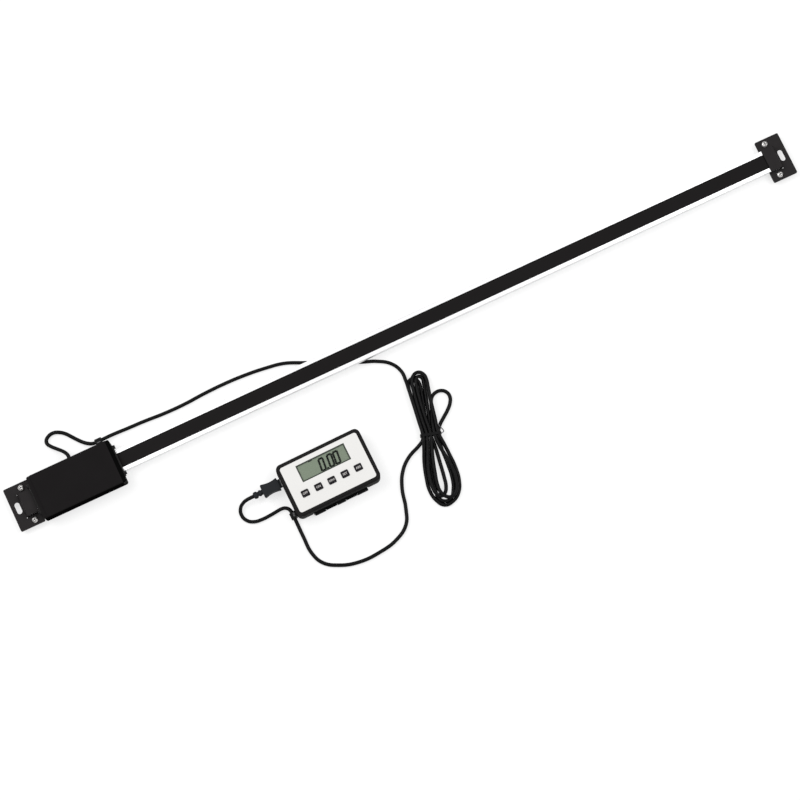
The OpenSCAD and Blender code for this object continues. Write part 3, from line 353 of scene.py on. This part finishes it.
pane_lift = Vector((0, 0, 0.0005))
window_middle = glass_top + pane_lift
clear_window = Finish("clear_window", (0.3, 0.34, 0.3), 0.3, specular=0.2)
clear_window.set("Alpha", 0.03)
pane_long, pane_tall, pane_thick, pane_edge = 0.0453, 0.0151, 0.0006, 0.0001
pane = bmesh.new()
bmesh.ops.create_cube(pane, size=1.0)
bmesh.ops.scale(pane, vec=(pane_long, pane_tall, pane_thick), verts=pane.verts)
bmesh.ops.translate(pane, vec=window_middle, verts=pane.verts)
bmesh.ops.bevel(pane, geom=list(pane.edges), offset=pane_edge, segments=2, profile=0.5,
                affect="EDGES", material=-1)
bmesh.ops.transform(pane, matrix=at_display, verts=pane.verts)
piece("lcd_pane", pane, clear_window, "display", "window", "lcd_window")

# A thin dark ring round the window: painted shade at the window's edge.
shade_ring_long, shade_ring_tall, shade_ring_wide, shade_ring_thick = 0.0456, 0.0154, 0.0011, 0.0004
shade_ring = bmesh.new()
bmesh.ops.create_grid(shade_ring, x_segments=1, y_segments=1, size=0.5)
bmesh.ops.scale(shade_ring, vec=(shade_ring_long, shade_ring_tall, 1), verts=shade_ring.verts)
bmesh.ops.translate(shade_ring, vec=window_middle, verts=shade_ring.verts)
opening = list(shade_ring.faces)
bmesh.ops.inset_region(shade_ring, faces=opening, thickness=shade_ring_wide, use_boundary=True,
                       use_even_offset=True)
bmesh.ops.delete(shade_ring, geom=opening, context="FACES")
bmesh.ops.solidify(shade_ring, geom=list(shade_ring.faces), thickness=shade_ring_thick)
bmesh.ops.recalc_face_normals(shade_ring, faces=shade_ring.faces)
bmesh.ops.transform(shade_ring, matrix=at_display, verts=shade_ring.verts)
window_edge_shade = Finish("window_edge_shade", (0.05, 0.06, 0.048), 0.6, specular=0.1)
window_edge_shade.mottle(0.2, 0.002)
piece("window_edge_shade", shade_ring, window_edge_shade, "display", "lcd")

# ---- Keys, boards and small parts ----
# Five rubber buttons with printed words on a silicone mat over the board, the mini socket, the
# coin cell with its contact, and the two magnets that hold the display on a machine.

key_rubber = Finish("key_rubber", (0.0125, 0.011, 0.0135), 0.6, specular=0.1)
key_rubber.mottle(0.2, 0.003)
key_rubber.bump(key_rubber.noise(0.0004), 0.00003, 0.5)
dress(key_rubber, *[f"button_{i}" for i in range(1, 6)])
key_print = Finish("key_print", (0.5, 0.485, 0.47), 0.5, specular=0.2)
key_print.mottle(0.1, 0.001)
word_tall, long_word_tall, letter_swell, print_lift = 0.0026, 0.0021, 0.00008, 0.00003


def as_mesh(obj):
    """Turns a text or curve object into a plain mesh, and takes the object away."""
    bpy.context.view_layer.update()
    ready = obj.evaluated_get(bpy.context.evaluated_depsgraph_get())
    mesh = bpy.data.meshes.new_from_object(ready)
    bpy.data.objects.remove(obj)
    return mesh


def as_bmesh(obj):
    """Turns a text or curve object into a bmesh."""
    mesh = as_mesh(obj)
    bm = bmesh.new()
    bm.from_mesh(mesh)
    bpy.data.meshes.remove(mesh)
    return bm


for number, word in enumerate(("OFF", "ON", "ZERO", "SET", "ABS"), start=1):
    label = bpy.data.curves.new("label", "FONT")
    label.body = word
    label.size = long_word_tall if len(word) > 3 else word_tall
    label.align_x, label.align_y = "CENTER", "CENTER"
    label.resolution_u = 2
    label.offset = letter_swell
    printed = as_bmesh(lay_out("label", label))
    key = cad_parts[f"button_{number}"].data.vertices
    key_middle = Vector((sum(v.co.x for v in key) / len(key), sum(v.co.y for v in key) / len(key),
                         max(v.co.z for v in key) + print_lift))
    bmesh.ops.rotate(printed, matrix=Matrix.Rotation(display_turn, 3, "Z"), verts=printed.verts)
    bmesh.ops.translate(printed, vec=key_middle, verts=printed.verts)
    piece(f"key_print_{number}", printed, key_print, f"key_{number}", "button_rubber")

silicone = Finish("silicone", (0.7, 0.7, 0.69), 0.5)
silicone.mottle(0.04)
dress(silicone, "key_mat")
dress(solder_mask, "display_board")
dress(bronze, "battery_contact")
plated = Finish("nickel_plate", (0.72, 0.71, 0.69), 0.2, metallic=1.0)
plated.mottle(0.06, 0.004)
plated.set("Roughness", 0.15 + 0.15 * plated.noise(0.0008))
dress(plated, "cord_socket", "plug_tip", "coin_cell", "magnets")

# ---- Stand ----
# A folding plate of black plastic whose knuckles turn on a steel pin between the rear cover's
# lugs.

stand_plastic = Finish("stand_plastic", (0.004, 0.004, 0.0042), 0.6, specular=0.06)
stand_plastic.mottle(0.2, 0.006)
stand_plastic.bump(stand_plastic.noise(0.0004, detail=4.0), 0.00004, 0.5)
dress(stand_plastic, "stand")
dress(black_oxide, "stand_pin")

# ---- Cord ----
# One thin black cord with a smooth soft sheath. It leaves the head through a rubber gland,
# passes two nylon clips, lies tied in a hank and ends in the plug.

cord_wide = 0.0033
sheath = Finish("cord_sheath", (0.0022, 0.0022, 0.0024), 0.38, specular=0.1)
sheath.mottle(0.25, 0.01)
sheath.set("Roughness", 0.32 + 0.16 * sheath.noise(0.002))
sheath.bump(sheath.noise(0.001), 0.00003, 0.4)
# The routes are in millimetres. The hank's is in its own frame, with the tie at y = 0 and the
# strands in two layers, and the tail's is in the display's.
head_way = [
    (1.5, 21.25, 8.5), (1.5, 23.4, 8.4), (0.6, 26, 7.5), (-1.4, 29.2, 5.7), (-4.9, 33.2, 3.8),
    (-8.9, 37.8, 2.5), (-10.9, 41.2, 1.8), (-10.5, 44.2, 1.7), (-7.5, 46.8, 1.7),
    (-2.6, 47.8, 1.7), (2.4, 46.1, 1.7), (6.7, 42.8, 1.7), (10.4, 38.2, 1.7), (14, 33.5, 1.7),
    (17.8, 29.2, 1.9), (21.4, 26.2, 2.8), (24.6, 24.4, 4.3), (27, 23.95, 5), (30, 23.95, 5),
    (33, 23.95, 5), (36.6, 24.2, 4.3), (43.4, 24.6, 2.4), (56.5, 24.2, 1.7), (72.5, 23.7, 1.7),
    (90.5, 22.6, 1.7), (109.5, 22.5, 1.7), (129.5, 23.7, 1.7), (148.5, 24.1, 1.7),
    (167.5, 23.4, 1.7), (186.5, 21.4, 1.7), (202.5, 18.4, 1.7), (216.5, 12.4, 1.7),
    (232.5, 4.6, 1.7), (248.5, -2.6, 1.7), (263.5, -9.1, 1.7), (276.6, -14.6, 1.7),
    (286.2, -21.5, 1.7), (291.1, -31, 1.7),
]
hank_way = [
    (-13.2, 50, 3), (-12.1, 42, 4.95), (-10.9, 34, 4.95), (-9.7, 25, 4.95), (-8.3, 14, 4.95),
    (-6.7, 0, 5.2), (-7.6, -10, 4.2), (-9.4, -22, 2.3), (-9.9, -36, 1.65), (-8.9, -47.6, 1.65),
    (-5, -56.3, 1.65), (1.8, -61.8, 1.65), (9.5, -59.5, 1.65), (15.2, -53, 1.65),
    (17.4, -43, 1.65), (16.2, -31, 1.65), (13.2, -20, 2.1), (10, -10, 3.7), (6.7, 0, 5.2),
    (5.9, 14, 4.95), (4.9, 30, 4.95), (4.7, 41, 4.95), (4.4, 47.8, 4.95), (2.6, 52.8, 4.95),
    (-1.8, 55.2, 4.95), (-6.2, 52.9, 4.95), (-8.2, 47.8, 4.95), (-8.2, 41, 4.95),
    (-7.3, 30, 4.95), (-5.3, 14, 4.95), (-3.35, 0, 5.2), (-4.4, -10, 4.95), (-6.6, -24, 4.95),
    (-7.2, -36, 4.95), (-6.2, -45, 4.95), (-3.2, -52, 4.95), (0.6, -53.8, 3.5), (3.9, -51.2, 1.9),
    (5.5, -45.6, 1.65), (5.2, -38, 1.65), (3.8, -25, 1.65), (2, -10, 1.75), (0.1, 0, 2.1),
    (0.9, 14, 1.65), (1.55, 30, 1.65), (1.65, 40, 1.8), (1.65, 45.5, 2.4), (1.1, 49.8, 3),
    (-1.7, 51.8, 3.9), (-4.5, 49.8, 4.7), (-5, 46, 4.95), (-4.8, 38, 4.95), (-3.9, 28, 4.95),
    (-2, 14, 4.95), (0, 0, 5.2), (-0.9, -10, 4.95), (-1.8, -22, 4.95), (-2, -33, 4.95),
    (-1.7, -43.6, 4.95), (-0.2, -50.2, 4.95), (3.8, -54.9, 4.95), (8.6, -56, 4.95),
    (12.9, -52.4, 4.95), (14.8, -43.6, 4.95), (12.8, -30, 4.95), (9.3, -20, 4.95),
    (5.6, -10.5, 4.95), (3.35, 0, 5.2), (3.1, 8, 4.6), (3.6, 15, 2.8), (4.7, 22, 1.65),
    (5.1, 27.6, 1.65), (6.8, 32.7, 1.65), (10.6, 35.9, 1.65), (15.4, 36.7, 1.65),
    (19.8, 34.6, 1.65), (21.9, 30.2, 1.65), (21.2, 25, 1.65), (18, 19, 1.65), (13.4, 13, 1.65),
    (9.1, 7, 1.75), (6.7, 0, 2.1), (7.2, -12, 1.65), (10.2, -27, 1.65), (12, -41, 1.65),
    (11.2, -49.6, 1.65), (8, -56.8, 1.65), (2.2, -58.5, 1.65), (-2.6, -54.6, 1.65),
    (-4.1, -46.5, 1.65), (-4.4, -36, 1.65), (-4.3, -22, 1.65), (-3.8, -10, 1.75), (-3.3, 0, 2.1),
    (-2.5, 14, 1.65), (-1.75, 30, 1.65), (-1.65, 40, 1.65), (-1.9, 45, 1.65), (-3.4, 48.8, 1.65),
    (-6.2, 51.1, 1.65), (-9.2, 50.6, 1.65), (-11.2, 47.4, 1.65), (-11.7, 42.5, 1.65),
    (-11.2, 37, 1.65), (-9.9, 28, 1.65), (-7.9, 14, 1.65), (-6.6, 2, 2.1), (-7.6, -3.4, 1.9),
    (-10.4, -6.6, 1.7),
]
lead_way = [
    (264.7, -101.9, 1.7), (254.9, -110.8, 1.7), (248.2, -123.6, 1.7), (243.7, -140.7, 1.7),
    (237.8, -153.4, 1.7), (225.4, -161.4, 1.7), (207.6, -165.2, 1.7), (187.5, -165.2, 1.7),
    (171.2, -160.3, 1.7), (159.6, -152.3, 1.7), (154.8, -141.2, 1.7), (154.2, -126.2, 1.7),
    (154.2, -113.4, 2.2),
]
tail_way = [
    (-42.3, -24.8, 2.4), (-42.3, -23.2, 2.7), (-42.3, -21.5, 2.9), (-42.3, -18.5, 2.9),
    (-42.3, -15.5, 2.9), (-43.2, -11.7, 2.7), (-45.6, -9.3, 2.3), (-48.9, -8.4, 1.9),
    (-53, -8.6, 1.7), (-59.6, -9.1, 1.7), (-67.6, -9.2, 1.7), (-74.6, -8, 1.7),
    (-79.8, -4.2, 1.7), (-81.8, 1.8, 2.1), (-79.9, 7.4, 3.4), (-75.4, 10.4, 5.4), (-71.6, 11, 7),
    (-68.4, 11, 7.8), (-65.5, 11, 7.9),
]
in_metres = Matrix.Scale(0.001, 4)
hank_middle, hank_turn = (0.2902, -0.0922, 0), math.radians(-15.7)
at_hank = Matrix.Translation(hank_middle) @ Matrix.Rotation(hank_turn, 4, "Z")
bend_gain = 1.01


def placed(way, where=Matrix.Identity(4)):
    """A route's points in metres, at their place on the bench."""
    return [where @ in_metres @ Vector(p) for p in way]


def cord_curve(name, points, wide=cord_wide):
    """A round cord through the points, as one smooth open curve."""
    curve = bpy.data.curves.new(name, "CURVE")
    curve.dimensions = "3D"
    line = curve.splines.new("BEZIER")
    line.bezier_points.add(len(points) - 1)
    for knot, point in zip(line.bezier_points, points):
        knot.co = point
        knot.handle_left_type = knot.handle_right_type = "AUTO"
    line.resolution_u = 6
    curve.bevel_depth = wide / 2
    curve.bevel_resolution = 3
    curve.use_fill_caps = True
    curve.materials.append(sheath.material)
    return lay_out(name, curve)


def way_length(points):
    """The length of a smooth cord through the points, in metres."""
    steps = sum((b - a).length for a, b in zip(points, points[1:]))
    return round(steps * bend_gain, 3)


main_points = placed(head_way) + placed(hank_way, at_hank) + placed(lead_way)
main_cord = cord_curve("main_cord", main_points)
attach(main_cord, "reader")
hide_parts("cord_head", "hank", "cord_lead")
way_length(main_points)

tail_points = main_points[-1:] + placed(tail_way, at_display)
tail_mesh = as_mesh(cord_curve("tail_line", tail_points))
tail_mesh.name = "tail_cord"
tail_cord = lay_out("tail_cord", tail_mesh)
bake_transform(tail_cord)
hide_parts("cord_tail")
way_length(tail_points)

# ---- Gland, clips, tie and plug ----
# The gland is soft rubber and the clips are nylon, each held by a dull zinc screw. The tie is a
# black band round the hank with a wire twisted into an open loop, and the plug is moulded over
# the cord's end.

soft_black = Finish("gland_rubber", (0.004, 0.004, 0.004), 0.6, specular=0.08)
soft_black.mottle(0.2, 0.003)
nylon = Finish("clip_nylon", (0.0025, 0.0025, 0.0028), 0.45, specular=0.1)
nylon.mottle(0.2, 0.003)
moulded_plug = Finish("plug_plastic", (0.017, 0.0185, 0.021), 0.6, specular=0.1)
moulded_plug.mottle(0.15, 0.004)
moulded_plug.bump(moulded_plug.noise(0.0004, detail=4.0), 0.00004, 0.5)
dress(soft_black, "cord_gland")
dress(nylon, "head_clip", "display_clip", "cord_tie")
dull_zinc = Finish("dull_zinc", (0.09, 0.09, 0.092), 0.4, metallic=1.0)
dull_zinc.mottle(0.2, 0.001)
dress(dull_zinc, "head_clip_screw", "display_clip_screw")
dress(moulded_plug, "plug")

tie_wire = Finish("tie_wire", (0.1, 0.1, 0.105), 0.4, metallic=1.0)
tie_wire.mottle(0.15, 0.002)
twist_way = [
    (7.7, 7.2, 6.2), (9.2, 5, 5.4), (11, 2.6, 4.6), (11.5, 1.2, 4.3), (10.5, 0.2, 4.3),
    (8.6, -0.5, 4.8),
]
wire_wide = 0.00084
twist = as_bmesh(cord_curve("twist_line", placed(twist_way, at_hank), wire_wide))
piece("tie_twist", twist, tie_wire, "reader", "cord")

# ---- Studio ----
# A plain white floor, two large soft lamps and a pale surround. The floor and the surround look
# lighter to the camera and in reflections than the light that they throw on the object.


def seen_as(nodes, plain, shown, *rays):
    """The shown shader for the given kinds of ray, and the plain one for all other light."""
    share = 0
    for ray in rays:
        path = nodes.node("ShaderNodeLightPath", {}, {}, ray)
        share = nodes.node("ShaderNodeMath", {"operation": "ADD", "use_clamp": True},
                           {0: share, 1: path})
    return nodes.node("ShaderNodeMixShader", {}, {0: share, 1: plain, 2: shown})


floor_finish = bpy.data.materials.new("studio_floor")
floor_finish.use_nodes = True
floor_finish.node_tree.nodes.clear()
floor_nodes = Nodes(floor_finish.node_tree)
paint = floor_nodes.node("ShaderNodeBsdfDiffuse", {}, {"Color": (0.3, 0.3, 0.3, 1)})
pale_paint = floor_nodes.node("ShaderNodeBsdfDiffuse", {}, {"Color": (0.42, 0.42, 0.42, 1)})
glow = floor_nodes.node("ShaderNodeEmission", {}, {"Strength": 0.66})
lit_paint = floor_nodes.node("ShaderNodeAddShader", {}, {0: pale_paint, 1: glow})
floor_out = floor_finish.node_tree.nodes.new("ShaderNodeOutputMaterial")
floor_nodes.feed(floor_out.inputs["Surface"],
                 seen_as(floor_nodes, paint, lit_paint,
                         "Is Camera Ray", "Is Glossy Ray", "Is Transmission Ray"))
floor_middle, floor_reach = (0.3, 0, -0.0004), 6
ground = bmesh.new()
bmesh.ops.create_grid(ground, x_segments=1, y_segments=1, size=floor_reach)
bmesh.ops.translate(ground, vec=floor_middle, verts=ground.verts)
ground_mesh = bpy.data.meshes.new("studio_floor")
ground.to_mesh(ground_mesh)
ground.free()
ground_mesh.materials.append(floor_finish)
lay_out("studio_floor", ground_mesh)

world = bpy.data.worlds.new("studio")
bpy.context.scene.world = world
world.use_nodes = True
sky = Nodes(world.node_tree)
room = world.node_tree.nodes["Background"]
room.inputs["Color"].default_value = (1, 1, 1, 1)
room.inputs["Strength"].default_value = 0.42
bright = sky.node("ShaderNodeBackground", {}, {"Strength": 1.0})
sky.feed(world.node_tree.nodes["World Output"].inputs["Surface"],
         seen_as(sky, Signal(sky, room.outputs["Background"]), bright,
                 "Is Camera Ray", "Is Glossy Ray"))


def aim(obj, place, target):
    """Sets a lamp or the camera at its place and turns it to its target."""
    obj.location = place
    turn = (Vector(target) - Vector(place)).to_track_quat("-Z", "Y")
    obj.rotation_euler = turn.to_euler()


for name, place, watts, size in (("key_lamp", (-0.7, 0.9, 2.0), 27, 1.5),
                                 ("fill_lamp", (1.5, -0.2, 2.1), 18, 1.4)):
    lamp = bpy.data.lights.new(name, "AREA")
    lamp.energy = watts
    lamp.size = size
    aim(lay_out(name, lamp), place, (0.3, 0, 0))

lens = bpy.data.cameras.new("camera")
lens.lens = 114.85
lens.sensor_width = 36
camera = lay_out("camera", lens)
aim(camera, (0.1164, -0.3986, 2.1666), (0.2795, -0.0531, 0))
bpy.context.scene.camera = camera
bpy.context.scene.view_settings.view_transform = "Standard"
